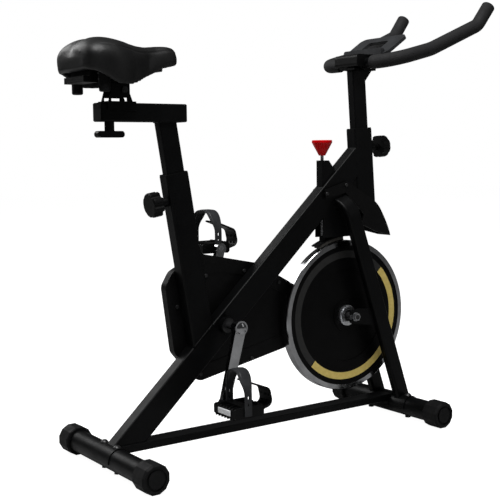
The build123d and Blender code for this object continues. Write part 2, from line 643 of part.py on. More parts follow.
def brake_knob():
    """Tapered twelve-sided grip, wide end up."""
    low = Plane((BRAKE_X, 0, 685)) * RegularPolygon(8, 12)
    high = Plane((BRAKE_X, 0, 717)) * RegularPolygon(25.5, 12)
    knob = loft([low, high])
    knob += extrude(Plane((BRAKE_X, 0, 717)) * RegularPolygon(25.5, 12), amount=6)
    knob = chamfer(knob.faces().sort_by(Axis.Z)[-1].edges(), 1.5)
    return knob - rod((BRAKE_X, 0, 680), (BRAKE_X, 0, 689), ROD_R + FIT)


def brake_spring():
    coil = Helix(pitch=5.5, height=SPRING_Z1 - SPRING_Z0 - 2.2, radius=5.6)
    start = Pos(BRAKE_X, 0, SPRING_Z0 + 1.05) * coil
    section = Plane(origin=start @ 0, z_dir=start % 0) * Circle(0.9)
    return sweep(section, path=start)


def pad_sector(outer, inner, half_w, a0, a1):
    """Piece of a ring over the wheel, between two angles from straight up, forward positive."""
    far = 300.0
    s0, c0, s1, c1 = (math.sin(math.radians(a0)), math.cos(math.radians(a0)),
                      math.sin(math.radians(a1)), math.cos(math.radians(a1)))
    wedge = profile([(WHEEL_X, WHEEL_Z), (WHEEL_X + far * s0, WHEEL_Z + far * c0),
                     (WHEEL_X + far * s1, WHEEL_Z + far * c1)], -half_w, half_w)
    return ring(WHEEL_X, WHEEL_Z, -half_w, half_w, outer, inner) & wedge


def brake_pad():
    """Felt block that presses on the rim."""
    return pad_sector(WHEEL_R + PAD_GAP + 7, WHEEL_R + PAD_GAP, 11, -26, -3)


def brake_shoe():
    """Steel shoe that holds the felt, with a socket for the rod."""
    base = WHEEL_R + PAD_GAP + 7
    shoe = pad_sector(base + 3, base + 0.02, 12.5, -27.5, -1.5)
    foot = WHEEL_Z + math.sqrt((base + 4) ** 2 - (WHEEL_X - BRAKE_X) ** 2)
    socket = rod((BRAKE_X, 0, foot - 8), (BRAKE_X, 0, foot + 12), 8)
    socket -= cross_rod(WHEEL_X, WHEEL_Z, -20, 20, base + 2)
    shoe += socket
    return shoe - rod((BRAKE_X, 0, foot + 3.1), (BRAKE_X, 0, 700), ROD_R + RUN)


# ---- Posts ----
def post_sleeves():
    """Plastic bushes in the tops of the seat tube and head tube."""
    sleeves = []
    for top, lean, height, width in ((SEAT_TOP, SEAT_LEAN, SEAT_POST_H, SEAT_POST_W),
                                     (HEAD_TOP, HEAD_LEAN, BAR_POST_H, BAR_POST_W)):
        low = along(top, lean, -30)
        sleeve = bar(low, top, TUBE_H - 2 * TUBE_WALL - 0.1, TUBE_W - 2 * TUBE_WALL - 0.1, 2.5)
        sleeve += bar(top, along(top, lean, 3), TUBE_H - 1.5, TUBE_W - 1.5, 3)
        cut = bar(along(top, lean, -40), along(top, lean, 10), height + 2 * POST_GAP, width + 2 * POST_GAP, 3.2)
        sleeves.append(sleeve - cut)
    return sleeves[0] + sleeves[1]


def holed_post(top, lean, inserted, upper, height, width, sense):
    """Post tube with its row of pin holes on one face."""
    post = bar(along(top, lean, -inserted), along(top, lean, upper), height, width, 3)
    post -= bar(along(top, lean, -inserted - 1), along(top, lean, upper - 2), height - 4, width - 4, 2)
    for i in range(5):
        at = along(top, lean, -inserted + 28 + 25 * i)
        out = along(at, lean, 0, sense * (height / 2 + 2))
        post -= rod((at[0], 0, at[1]), (out[0], 0, out[1]), PIN_R + 0.5)
    return post


def seat_post():
    rise = (SLIDER_Z - SLIDER / 2 - SEAT_TOP[1]) / math.cos(math.radians(SEAT_LEAN)) + 8
    post = holed_post(SEAT_TOP, SEAT_LEAN, SEAT_POST_INSERT, rise, SEAT_POST_H, SEAT_POST_W, -1)
    return post - block(-500, -200, -50, 50, SLIDER_Z - SLIDER / 2, 900)


def seat_slider():
    tube = box_tube((SLIDER_X0, SLIDER_Z), (SLIDER_X1, SLIDER_Z), SLIDER, SLIDER)
    slot = block(SLIDER_X0 + 12, SLIDER_X0 + 104, -5.5, 5.5, SLIDER_Z - 25, SLIDER_Z + 25)
    return tube - slot


def slider_plugs():
    """Plastic end plugs pressed into the slider tube."""
    side = SLIDER - 2 * TUBE_WALL - 0.2
    plugs = []
    for x, sense in ((SLIDER_X0, -1), (SLIDER_X1, 1)):
        stem = block(*sorted((x, x - sense * 10)), -side / 2, side / 2, SLIDER_Z - side / 2, SLIDER_Z + side / 2)
        head = block(*sorted((x, x + sense * 2)), -18.5, 18.5, SLIDER_Z - 18.5, SLIDER_Z + 18.5)
        plugs.append(fillet(stem.edges().filter_by(Axis.X), 3) + head)
    return plugs[0] + plugs[1]


# ---- Saddle ----
def saddle_carriage():
    """Folded plate over the slider tube, with two uprights for the tilt bolt."""
    x0, x1 = -478.5, -410.5
    half, top = SLIDER / 2, SLIDER_Z + SLIDER / 2
    plate = block(x0, x1, -half - 2.9, half + 2.9, top - 16, top + 2.9)
    plate -= block(x0 - 1, x1 + 1, -half - 0.4, half + 0.4, top - 20, top + 0.4)
    upright = profile([(-474, top + 2), (-468, top + 22), (-466, TILT_Z + 12), (-424, TILT_Z + 14),
                       (-423, top + 20), (-416, top + 2)], -18, -15)
    upright -= block(-467.5, -429.5, -30, 0, top + 3.2, top + 10.6)
    upright -= cross_rod(TILT_X, TILT_Z, -30, 0, 4 + FIT)
    threaded_boss = rod((KNOB_X, 0, top - 8), (KNOB_X, 0, top + 1), 5)
    return plate + both_sides(upright) + threaded_boss


def slider_knob():
    """T-handle with the clamp bolt that draws the carriage down on the slider."""
    top = SLIDER_Z - SLIDER / 2 - 0.5
    stem = rod((KNOB_X, 0, top - 20), (KNOB_X, 0, top), 10.5)
    stem += rod((KNOB_X, 0, top - 1), (KNOB_X, 0, SLIDER_Z + SLIDER / 2 - 10.5), 4)
    head = profile([(KNOB_X - 32, top - 19), (KNOB_X + 32, top - 19), (KNOB_X + 32, top - 33),
                    (KNOB_X - 32, top - 33)], -9, 9, 6.5)
    return stem + head


def saddle_clamp():
    """Block between the uprights, on the tilt bolt, that grips both rails."""
    body = block(-452, -421, -14.5, 14.5, TILT_Z - 12, TILT_Z + 25)
    body += block(-455, -418, -27, 27, SADDLE_RAIL_Z - 9, SADDLE_RAIL_Z + 9)
    body -= block(-500, -400, -27, -14.5, 700, TILT_Z + 17)
    body -= block(-500, -400, 14.5, 27, 700, TILT_Z + 17)
    for y in (-20, 20):
        body -= rod((-500, y, SADDLE_RAIL_Z), (-400, y, SADDLE_RAIL_Z), 3.5 + FIT)
    body -= cross_rod(TILT_X, TILT_Z, -30, 30, 4 + RUN)
    return body


def tilt_bolt():
    bolt = cross_rod(TILT_X, TILT_Z, -24, 24, 4)
    head = hexagon(TILT_X, TILT_Z, -23, -18.02, 13)
    nut = hexagon(TILT_X, TILT_Z, 18.02, 24.5, 13)
    return bolt + head + nut


def saddle_rails():
    """Two steel wires under the saddle, joined at the nose."""
    right = FilletPolyline((-520, -38, 872), (-490, -34, SADDLE_RAIL_Z), (-472, -20, SADDLE_RAIL_Z),
                           (-395, -20, SADDLE_RAIL_Z), (-350, -10, 876), radius=8)
    section = Plane(origin=right @ 0, z_dir=right % 0) * Circle(3.5)
    return both_sides(sweep(section, path=right))


def saddle_outline(inset=0.0):
    """Plan of the saddle: a square grooved tail, a waist and a narrow nose, drawn in by inset."""
    half = [(-556, 36), (-554, 66), (-543, 87), (-512, 96), (-474, 93), (-430, 66), (-384, 36), (-336, 26),
            (-306, 17)]
    right = [(x + (inset if x < -530 else 0), -y + inset) for x, y in half]
    left = [(x, -y) for x, y in reversed(right)]
    loop = right + [(SADDLE_NOSE_X - inset, 0)] + left + [(SADDLE_TAIL_X + 12 + inset, 0)]
    return make_face(Spline(*loop, periodic=True))


def saddle_slab(z0, z1, inset=0.0):
    return extrude(Plane((0, 0, z0)) * saddle_outline(inset), amount=z1 - z0)


def saddle_pan():
    """Moulded base under the padding, with sockets for the rails' ends."""
    pan = saddle_slab(874, 882, 14) - block(-338, -250, -60, 60, 800, 900)
    pan += block(-530, -512, -46, 46, 842, 875) + block(-545, -520, -46, 46, 842, 855)
    pan += block(-362, -340, -14, 14, 872, 875)
    return pan - saddle_rails()


def saddle_pad():
    """Soft cushion with a deep skirt, as a plain closed solid."""
    pad = saddle_slab(826, 932) - saddle_slab(820, 882.1, 11)
    side_view = [(-570, 868), (-545, 864), (-525, 848), (-505, 832), (-480, 826), (-450, 828), (-424, 840),
                 (-389, 854), (-345, 872), (-290, 889), (-290, 905), (-305, 918), (-333, 930), (-398, 924),
                 (-470, 930), (-512, 932), (-545, 927), (-570, 920)]
    return pad & profile(side_view, -120, 120)


def saddle_bumpers():
    """Two rubber springs under the saddle's tail."""
    bumper = rod((-506, -64, 822), (-506, -64, 874 - FIT), 12)
    bumper = fillet(bumper.edges().sort_by(Axis.Z)[0], 4)
    return both_sides(bumper)


# ---- Handlebar ----
def bar_path(side):
    """Half of the bar: out from the middle, forward, then up at the tip."""
    points = [(BAR_X, 0, BAR_Z)] + [(x, -side * y, z) for x, y, z in HORN_PATH]
    return FilletPolyline(*points, radius=[58, 160, 38])


def sweep_round(path, radius):
    return sweep(Plane(origin=path @ 0, z_dir=path % 0) * Circle(radius), path=path)


def handlebar():
    half = sweep_round(bar_path(-1), BAR_R) - sweep_round(bar_path(-1), BAR_R - 1.8)
    return half + mirrored(half)


def grip_cut():
    """Space the grips leave free round the middle of the bar."""
    return block(0, 400, -GRIP_START_Y, GRIP_START_Y, 800, 1100)


def handlebar_grips():
    path = bar_path(-1)
    grip = sweep_round(path, GRIP_R) - grip_cut()
    end = path @ 1
    way = path % 1
    cap = rod(end, end + way * 5, GRIP_R)
    cap = fillet(cap.edges().sort_by(lambda e: (e.center() - end).dot(way))[-1], 4)
    grip = grip + cap - sweep_round(path, BAR_R + FIT)
    return both_sides(grip)


def handlebar_post():
    """Post with its pin holes, and the cradle and gusset welded on top for the bar."""
    post = holed_post(HEAD_TOP, HEAD_LEAN, BAR_POST_INSERT, BAR_RISE, BAR_POST_H, BAR_POST_W, 1)
    x, z = along(HEAD_TOP, HEAD_LEAN, BAR_RISE)
    cradle = ring(BAR_X, BAR_Z, -34, 34, BAR_R + 4, BAR_R + FIT)
    plate = block(x - 26, x + 46, -24, 24, z - 2, z + 3)
    brace = profile([(x + 19, z), (x + 44, z), (x + 22, z - 27)], -BAR_POST_W / 2, BAR_POST_W / 2)
    return post + cradle + plate + brace - cross_rod(BAR_X, BAR_Z, -60, 60, BAR_R + FIT)


def center_cover():
    """Moulded cover over the middle of the bar."""
    cover = block(198, 292, -42, 42, 904, 934)
    cover = fillet(cover.edges().filter_by(Axis.Y), 8)
    cover -= block(202, 288, -36.5, 36.5, 890, 931)
    cover -= cross_rod(BAR_X, BAR_Z, -60, 60, BAR_R + 0.1)
    return cover - block(206, 222, -20, -8, 925, 940)


def tablet_holder():
    """Sloping frame in front of the bar with a ledge at its foot."""
    slope = Plane(origin=(262, 0, 930), x_dir=(0, -1, 0), z_dir=Vector(-0.56, 0, 0.83))
    outer = extrude(slope * Pos(0, 42, 0) * RectangleRounded(166, 92, 18), amount=8)
    hole = extrude(slope.offset(-1) * Pos(0, 44, 0) * RectangleRounded(74, 40, 8), amount=10)
    ledge = block(252, 264, -70, 70, 926, 950)
    ledge = fillet(ledge.edges().filter_by(Axis.X), 6)
    return outer - hole + ledge - block(190, 300, -42.3, 42.3, 900, 934 + FIT)


# ---- Pedals ----
def pedal_spindles():
    """Steel axles screwed into the cranks."""
    parts = []
    for side in (-1, 1):
        x, z = crank_end(side)
        y0, y1, y2, y3 = (side * v for v in (CRANK_Y0, CRANK_Y1 + FIT, CRANK_Y1 + 4, PEDAL_Y + 30))
        parts.append(cross_rod(x, z, *sorted((y0, y2)), 7 - FIT) + cross_rod(x, z, *sorted((y1, y2)), 9)
                     + cross_rod(x, z, *sorted((y2, y3)), 5))
    return parts[0] + parts[1]


def pedal_body(side):
    """Ribbed platform that turns on its axle."""
    x, z = crank_end(side)
    y0, y1 = sorted((side * (PEDAL_Y - PEDAL_HALF_W), side * (PEDAL_Y + PEDAL_HALF_W)))
    half, thick = PEDAL_LENGTH / 2, PEDAL_THICK / 2
    body = block(x - half, x + half, y0, y1, z - thick, z + thick)
    body = fillet(body.edges().filter_by(Axis.Y), 5)
    for sx in (-1, 1):
        window = block(*sorted((x + sx * 12, x + sx * (half - 7))), y0 + 9, y1 - 9, z - 30, z + 30)
        body -= window
        for i in range(3):
            yc = y0 + 9 + (y1 - y0 - 18) * (i + 1) / 4
            body += block(*sorted((x + sx * 11, x + sx * (half - 6))), yc - 2, yc + 2, z - 9, z + 9)
    for sx in (-1, 1):
        for i in range(7):
            yc = y0 + 8 + (y1 - y0 - 16) * i / 6
            body += block(*sorted((x + sx * (half - 7), x + sx * half)), yc - 1.5, yc + 1.5, z - thick - 2, z + thick + 2)
    body -= block(x + half - 1, x + half + 3, y0 + 15, y1 - 15, z - 8, z + 8)
    bore = cross_rod(x, z, *sorted((side * 60, side * (PEDAL_Y + 32))), 5 + RUN)
    return body - bore


def cage_path(x, z):
    """Side view of the toe cage: out of the platform's front edge and up over the toes."""
    half = PEDAL_LENGTH / 2
    return FilletPolyline((x + half + 2, 0, z - 6), (x + half + 38, 0, z + 4), (x + half + 30, 0, z + 40),
                          (x + 12, 0, z + 62), radius=14)


def pedal_cage(side):
    """Toe cage: a plastic blade with a wide studded toe plate."""
    x, z = crank_end(side)
    path = cage_path(x, z)
    y = side * PEDAL_Y
    section = Plane(origin=path @ 0, x_dir=(0, 1, 0), z_dir=path % 0) * RectangleRounded(46, 4, 1.5)
    cage = Pos(0, y, 0) * sweep(section, path=path)
    for dy in (-14, 0, 14):
        for dz in (8, 24):
            cage += rod((x + PEDAL_LENGTH / 2 + 30, y + dy, z + dz), (x + PEDAL_LENGTH / 2 + 40 - dz / 6, y + dy, z + dz), 3)
    tongue = block(x + PEDAL_LENGTH / 2 + 0.05, x + PEDAL_LENGTH / 2 + 6, y - 20, y + 20, z - 8, z - 2)
    return cage + tongue


def pedal_strap(side):
    """Rubber strap over the foot, from one side of the platform to the other."""
    x, z = crank_end(side)
    reach = PEDAL_HALF_W + 2.05
    corners = []
    for out, up in ((-reach, -8), (-reach, 52), (-22, STRAP_RISE), (22, STRAP_RISE), (reach, 52), (reach, -8)):
        corners.append((x, side * (PEDAL_Y + out), z + up))
    path = FilletPolyline(*corners, radius=22)
    section = Plane(origin=path @ 0, x_dir=(1, 0, 0), z_dir=path % 0) * RectangleRounded(STRAP_W, 3, 1)
    spindle = cross_rod(x, z, *sorted((side * 70, side * (PEDAL_Y - PEDAL_HALF_W))), 6)
    return sweep(section, path=path) - spindle


def main():
    frame = {
        "diagonal_beam": diagonal_beam(), "seat_tube": seat_tube(), "head_tube": head_tube(),
        "bottom_rail": bottom_rail(), "fork_crown": fork_crown(), "fork_legs": both_sides(leg_right()),
        "axle_brackets": axle_brackets(), "stabilizers": stabilizers(),
        "stabilizer_saddles": stabilizer_saddles(), "foot_caps": foot_caps(),
        "stabilizer_bolts": stabilizer_bolts(), "bottom_bracket_shell": bottom_bracket_shell(),
        "sealed_bearings": sealed_bearings(), "post_sleeves": post_sleeves(),
        "belt_guard_inner": belt_guard_inner(), "belt_guard_outer": belt_guard_outer(),
        "guard_screws": guard_screws(), "sweat_guard": sweat_guard(), "flywheel_axle": flywheel_axle(),
        "axle_nuts": axle_nuts(), "drive_belt": drive_belt(), "brake_tube": brake_tube(),
    }
    wheel = {
        "flywheel_rim": flywheel_rim(), "flywheel_disc": flywheel_disc(), "flywheel_hub": flywheel_hub(),
        "driven_pulley": driven_pulley(),
    }
    cranks = {
        "crank_spindle": crank_spindle(), "crank_arms": crank_arm(-1) + crank_arm(1),
        "crank_bolts": crank_bolts(), "drive_pulley": drive_pulley(), "pedal_spindles": pedal_spindles(),
    }
    pedals = {}
    for name, side in (("right", -1), ("left", 1)):
        pedals[f"pedal_{name}_body"] = pedal_body(side)
        pedals[f"pedal_{name}_cage"] = pedal_cage(side)
        pedals[f"pedal_{name}_strap"] = pedal_strap(side)
    seat = {
        "seat_post": seat_post(), "seat_slider": seat_slider(), "slider_plugs": slider_plugs(),
        "seat_post_knob": pin_knob(SEAT_TOP, SEAT_LEAN, SEAT_KNOB_DROP, -1, SEAT_POST_H, SEAT_KNOB_NECK),
        "saddle_carriage": saddle_carriage(), "slider_knob": slider_knob(), "tilt_bolt": tilt_bolt(),
        "saddle_clamp": saddle_clamp(), "saddle_rails": saddle_rails(), "saddle_pan": saddle_pan(),
        "saddle_pad": saddle_pad(), "saddle_bumpers": saddle_bumpers(),
    }
    front = {
        "handlebar_post": handlebar_post(), "handlebar": handlebar(), "handlebar_grips": handlebar_grips(),
        "center_cover": center_cover(), "tablet_holder": tablet_holder(),
        "handlebar_knob": pin_knob(HEAD_TOP, HEAD_LEAN, HEAD_KNOB_DROP, 1, BAR_POST_H, HEAD_KNOB_NECK),
        "brake_knob": brake_knob(), "brake_rod": brake_rod(), "brake_spring": brake_spring(),
        "brake_pad": brake_pad(), "brake_shoe": brake_shoe(),
    }
    for group in (frame, wheel, cranks, pedals, seat, front):
        for name, shape in group.items():
            save(name, shape)


main()
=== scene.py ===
import json
import math

import bmesh
import bpy
import numpy as np
from mathutils import Matrix, Vector


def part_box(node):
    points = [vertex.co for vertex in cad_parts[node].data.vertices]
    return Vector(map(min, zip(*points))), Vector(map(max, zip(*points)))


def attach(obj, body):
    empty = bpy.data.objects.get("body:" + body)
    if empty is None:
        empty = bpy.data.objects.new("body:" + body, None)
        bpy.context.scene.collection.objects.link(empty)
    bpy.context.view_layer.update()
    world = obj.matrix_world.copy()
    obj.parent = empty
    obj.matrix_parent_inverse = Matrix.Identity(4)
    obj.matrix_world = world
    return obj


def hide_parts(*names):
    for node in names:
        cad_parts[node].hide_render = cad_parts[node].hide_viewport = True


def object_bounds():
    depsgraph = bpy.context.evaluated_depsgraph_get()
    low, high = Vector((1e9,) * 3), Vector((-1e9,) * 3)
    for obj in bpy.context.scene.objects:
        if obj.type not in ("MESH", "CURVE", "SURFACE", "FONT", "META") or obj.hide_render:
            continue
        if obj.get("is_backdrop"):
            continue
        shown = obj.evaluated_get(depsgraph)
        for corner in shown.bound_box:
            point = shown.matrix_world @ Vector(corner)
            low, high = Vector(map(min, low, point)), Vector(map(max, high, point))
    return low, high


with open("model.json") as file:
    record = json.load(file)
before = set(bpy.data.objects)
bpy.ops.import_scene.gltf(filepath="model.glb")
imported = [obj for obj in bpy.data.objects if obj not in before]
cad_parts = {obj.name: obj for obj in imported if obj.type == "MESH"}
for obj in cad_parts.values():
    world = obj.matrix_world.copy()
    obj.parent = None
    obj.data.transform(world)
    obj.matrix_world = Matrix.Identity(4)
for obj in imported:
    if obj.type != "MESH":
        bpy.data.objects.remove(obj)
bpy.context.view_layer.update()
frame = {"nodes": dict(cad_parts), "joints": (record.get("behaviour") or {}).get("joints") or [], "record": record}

MM = 0.001


# ---- What the frame says ----
def joint(name):
    return next(j for j in frame["joints"] if j["name"] == name)


def middle(name):
    low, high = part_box(name)
    return (low + high) / 2


WHEEL = Vector(joint("flywheel_spin")["pos_m"])
CRANK = Vector(joint("crank_spin")["pos_m"])
SEAT_UP = Vector(joint("seat_height")["axis"])
TILT = Vector(joint("saddle_tilt")["pos_m"])
ACROSS = Vector((0, 1, 0))


# ---- Materials ----
class Surface:
    """A Principled material under construction, with coordinates in the object's own metres."""

    def __init__(self, name, color, roughness, metallic=0.0, specular=0.5, coat=0.0, sheen=0.0):
        self.material = bpy.data.materials.new(name)
        self.material.use_nodes = True
        self.tree = self.material.node_tree
        self.shader = self.tree.nodes["Principled BSDF"]
        self.set("Base Color", (*color, 1))
        self.set("Roughness", roughness)
        self.set("Metallic", metallic)
        self.set("Specular IOR Level", specular)
        self.set("Coat Weight", coat)
        self.set("Coat Roughness", 0.12)
        self.set("Sheen Weight", sheen)
        self.set("Sheen Roughness", 0.4)
        self.place = self.add("ShaderNodeTexCoord").outputs["Object"]
        self.normal = None

    def set(self, socket, value):
        self.shader.inputs[socket].default_value = value

    def add(self, kind, **settings):
        node = self.tree.nodes.new(kind)
        for key, value in settings.items():
            setattr(node, key, value)
        return node

    def link(self, source, target):
        self.tree.links.new(source, target)

    def stretched(self, x, y, z):
        """Coordinates scaled differently along each axis, for brushed or woven marks."""
        node = self.add("ShaderNodeMapping")
        node.inputs["Scale"].default_value = (x, y, z)
        self.link(self.place, node.inputs["Vector"])
        return node.outputs["Vector"]

    def noise(self, scale, detail=3.0, place=None):
        node = self.add("ShaderNodeTexNoise")
        node.inputs["Scale"].default_value = scale
        node.inputs["Detail"].default_value = detail
        self.link(place or self.place, node.inputs["Vector"])
        return node.outputs["Fac"]

    def cells(self, scale, feature="F1"):
        node = self.add("ShaderNodeTexVoronoi", feature=feature)
        node.inputs["Scale"].default_value = scale
        self.link(self.place, node.inputs["Vector"])
        return node.outputs["Distance"]

    def spread(self, value, low, high, start=0.3, end=0.7):
        node = self.add("ShaderNodeMapRange")
        for key, number in (("From Min", start), ("From Max", end), ("To Min", low), ("To Max", high)):
            node.inputs[key].default_value = number
        self.link(value, node.inputs["Value"])
        return node.outputs["Result"]

    def roughness(self, value, low, high, start=0.3, end=0.7):
        self.link(self.spread(value, low, high, start, end), self.shader.inputs["Roughness"])

    def colors(self, value, dark, light, start=0.3, end=0.7):
        node = self.add("ShaderNodeMix", data_type="RGBA")
        self.link(self.spread(value, 0, 1, start, end), node.inputs["Factor"])
        node.inputs["A"].default_value = (*dark, 1)
        node.inputs["B"].default_value = (*light, 1)
        self.link(node.outputs["Result"], self.shader.inputs["Base Color"])

    def relief(self, height, strength, depth_mm):
        node = self.add("ShaderNodeBump")
        node.inputs["Strength"].default_value = strength
        node.inputs["Distance"].default_value = depth_mm * MM
        self.link(height, node.inputs["Height"])
        if self.normal:
            self.link(self.normal, node.inputs["Normal"])
        self.normal = node.outputs["Normal"]
        self.link(self.normal, self.shader.inputs["Normal"])


def powder_coat():
    s = Surface("powder_coat", (0.0014, 0.0015, 0.0016), 0.42, specular=0.10)
    s.colors(s.noise(14), (0.0010, 0.0011, 0.0012), (0.0019, 0.0020, 0.0022))
    s.roughness(s.noise(22, 5), 0.36, 0.46)
    s.relief(s.noise(1100, 2), 0.22, 0.25)
    s.relief(s.cells(2600, "SMOOTH_F1"), 0.10, 0.12)
    return s.material


def wheel_paint():
    s = Surface("wheel_paint", (0.0012, 0.0012, 0.0013), 0.33, specular=0.08)
    s.colors(s.noise(30), (0.0009, 0.0009, 0.0010), (0.0017, 0.0017, 0.0018))
    s.roughness(s.noise(60, 5), 0.28, 0.4)
    s.relief(s.noise(420, 4), 0.25, 0.3)
    return s.material


def chrome():
    s = Surface("chrome_plate", (0.34, 0.344, 0.352), 0.12, metallic=1.0)
    s.colors(s.noise(45, 4), (0.27, 0.273, 0.281), (0.40, 0.404, 0.413))
    s.roughness(s.noise(90, 6), 0.08, 0.18)
    s.relief(s.noise(700, 2), 0.03, 0.05)
    return s.material


def plain_steel():
    s = Surface("zinc_steel", (0.36, 0.364, 0.375), 0.3, metallic=1.0)
    s.colors(s.noise(160, 4), (0.26, 0.264, 0.275), (0.42, 0.424, 0.435))
    s.roughness(s.noise(240, 5), 0.22, 0.40)
    s.relief(s.noise(1500, 2), 0.12, 0.08)
    return s.material


def turned_aluminium():
    s = Surface("turned_aluminium", (0.62, 0.63, 0.65), 0.3, metallic=1.0)
    s.colors(s.noise(80, 4), (0.52, 0.53, 0.55), (0.68, 0.69, 0.71))
    s.roughness(s.noise(300, 3, s.stretched(1, 9, 1)), 0.22, 0.38)
    s.relief(s.noise(900, 2, s.stretched(1, 6, 1)), 0.08, 0.08)
    return s.material


def grained_plastic(name, dark, light, low, high):
    s = Surface(name, dark, low, specular=0.12)
    s.colors(s.noise(35, 4), dark, light)
    s.roughness(s.noise(50, 5), low, high)
    s.relief(s.cells(1500), 0.16, 0.18)
    s.relief(s.noise(500, 3), 0.08, 0.15)
    return s.material


def red_plastic():
    s = Surface("red_plastic", (0.50, 0.001, 0.003), 0.3, specular=0.12)
    s.colors(s.noise(60, 4), (0.44, 0.0008, 0.002), (0.56, 0.002, 0.004))
    s.roughness(s.noise(120, 4), 0.2, 0.34)
    s.relief(s.noise(900, 2), 0.05, 0.08)
    return s.material


def moulded_rubber():
    s = Surface("moulded_rubber", (0.003, 0.003, 0.0032), 0.62, specular=0.15)
    s.colors(s.noise(50, 5), (0.0022, 0.0022, 0.0024), (0.0042, 0.0042, 0.0045))
    s.roughness(s.noise(80, 4), 0.52, 0.72)
    s.relief(s.noise(1300, 3), 0.25, 0.2)
    return s.material


def grip_foam():
    s = Surface("grip_foam", (0.009, 0.009, 0.0095), 0.7, specular=0.15, sheen=0.03)
    s.colors(s.cells(1400), (0.005, 0.005, 0.0052), (0.014, 0.014, 0.0146), 0.1, 0.5)
    s.roughness(s.noise(40, 4), 0.6, 0.8)
    s.relief(s.cells(1400), 0.45, 0.35)
    s.relief(s.noise(160, 3), 0.12, 0.5)
    return s.material


def saddle_vinyl():
    s = Surface("saddle_vinyl", (0.0016, 0.0016, 0.0018), 0.47, specular=0.32)
    s.colors(s.noise(24, 5), (0.0012, 0.0012, 0.0013), (0.0022, 0.0022, 0.0024))
    s.roughness(s.noise(30, 5), 0.42, 0.54)
    s.relief(s.cells(900, "DISTANCE_TO_EDGE"), 0.30, 0.22)
    s.relief(s.noise(340, 4), 0.14, 0.4)
    return s.material


def pressed_felt():
    s = Surface("pressed_felt", (0.05, 0.048, 0.044), 0.95, specular=0.1, sheen=0.1)
    s.colors(s.noise(500, 6), (0.035, 0.033, 0.030), (0.07, 0.066, 0.060))
    s.relief(s.noise(1200, 6), 0.7, 0.6)
    return s.material


def ribbed_belt():
    s = Surface("ribbed_belt", (0.006, 0.006, 0.006), 0.6, specular=0.15)
    s.colors(s.noise(300), (0.004, 0.004, 0.004), (0.009, 0.009, 0.009))
    s.relief(s.noise(90, 1, s.stretched(0.02, 6, 0.02)), 0.6, 0.6)
    return s.material


def flat_paint(name, dark, light, roughness):
    s = Surface(name, dark, roughness, specular=0.35)
    s.colors(s.noise(120, 5), dark, light)
    s.roughness(s.noise(200, 4), roughness - 0.06, roughness + 0.08)
    s.relief(s.noise(1400, 2), 0.08, 0.06)
    return s.material


def reflector_plastic():
    s = Surface("reflector_plastic", (0.62, 0.63, 0.64), 0.18, specular=0.6, coat=0.4)
    s.colors(s.cells(420), (0.48, 0.49, 0.50), (0.74, 0.75, 0.76), 0.0, 0.6)
    s.roughness(s.noise(200), 0.12, 0.25)
    s.relief(s.cells(420), 0.5, 0.6)
    return s.material


MATERIALS = {
    "frame_black": powder_coat(),
    "wheel_black": wheel_paint(),
    "chrome": chrome(),
    "steel_bare": plain_steel(),
    "aluminium": turned_aluminium(),
    "steel_dark": flat_paint("black_oxide", (0.010, 0.010, 0.0105), (0.016, 0.016, 0.0168), 0.34),
    "plastic_black": grained_plastic("black_plastic", (0.0013, 0.0013, 0.0014), (0.0022, 0.0022, 0.0023),
                                     0.4, 0.52),
    "plastic_grey": grained_plastic("grey_plastic", (0.020, 0.0205, 0.022), (0.030, 0.031, 0.033),
                                    0.3, 0.42),
    "plastic_red": red_plastic(),
    "rubber_black": moulded_rubber(),
    "foam_black": grip_foam(),
    "belt_rubber": ribbed_belt(),
    "saddle_vinyl": saddle_vinyl(),
    "felt": pressed_felt(),
    "gold": flat_paint("gold_paint", (0.60, 0.46, 0.12), (0.70, 0.55, 0.17), 0.38),
    "dark_grey": flat_paint("dark_grey_paint", (0.010, 0.010, 0.0098), (0.014, 0.014, 0.0136), 0.4),
    "reflector": reflector_plastic(),
}
SLOTS = {part["node"]: part["material_slot"] for part in frame["record"]["subparts"]}
BLACKENED = ("saddle_rails", "tilt_bolt", "stabilizer_bolts")   # bare steel in the record, blackened here


def paint_frame():
    """Every carried-over CAD node takes the material of its slot."""
    for name, obj in frame["nodes"].items():
        obj.data.materials.clear()
        obj.data.materials.append(MATERIALS["steel_dark" if name in BLACKENED else SLOTS[name]])


# ---- Making pieces ----
def piece(name, verts, faces, material, body, smooth=True):
    """Mesh object from points in metres, riding on a body."""
    mesh = bpy.data.meshes.new(name)
    mesh.from_pydata([tuple(v) for v in verts], [], faces)
    mesh.update()
    tidy = bmesh.new()
    tidy.from_mesh(mesh)
    bmesh.ops.recalc_face_normals(tidy, faces=tidy.faces)
    tidy.to_mesh(mesh)
    tidy.free()
    obj = bpy.data.objects.new(name, mesh)
    bpy.context.scene.collection.objects.link(obj)
    mesh.materials.append(MATERIALS[material])
    mesh.shade_smooth() if smooth else mesh.shade_flat()
    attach(obj, body)
    return obj


def wall(rings, count, closed=False):
    """Faces between neighbouring rings of count points each."""
    faces = []
    for i in range(rings if closed else rings - 1):
        j = (i + 1) % rings
        for k in range(count):
            m = (k + 1) % count
            faces.append((i * count + k, i * count + m, j * count + m, j * count + k))
    return faces


def loop_frames(points, closed):
    """A tangent and two normals at each point of a path."""
    count = len(points)
    side = None
    frames = []
    for i, point in enumerate(points):
        before = points[i - 1] if closed or i else point
        after = points[(i + 1) % count] if closed or i < count - 1 else point
        way = (after - before).normalized()
        if side is None:
            side = way.orthogonal().normalized()
        side = (side - way * side.dot(way)).normalized()
        frames.append((point, side, way.cross(side)))
    return frames


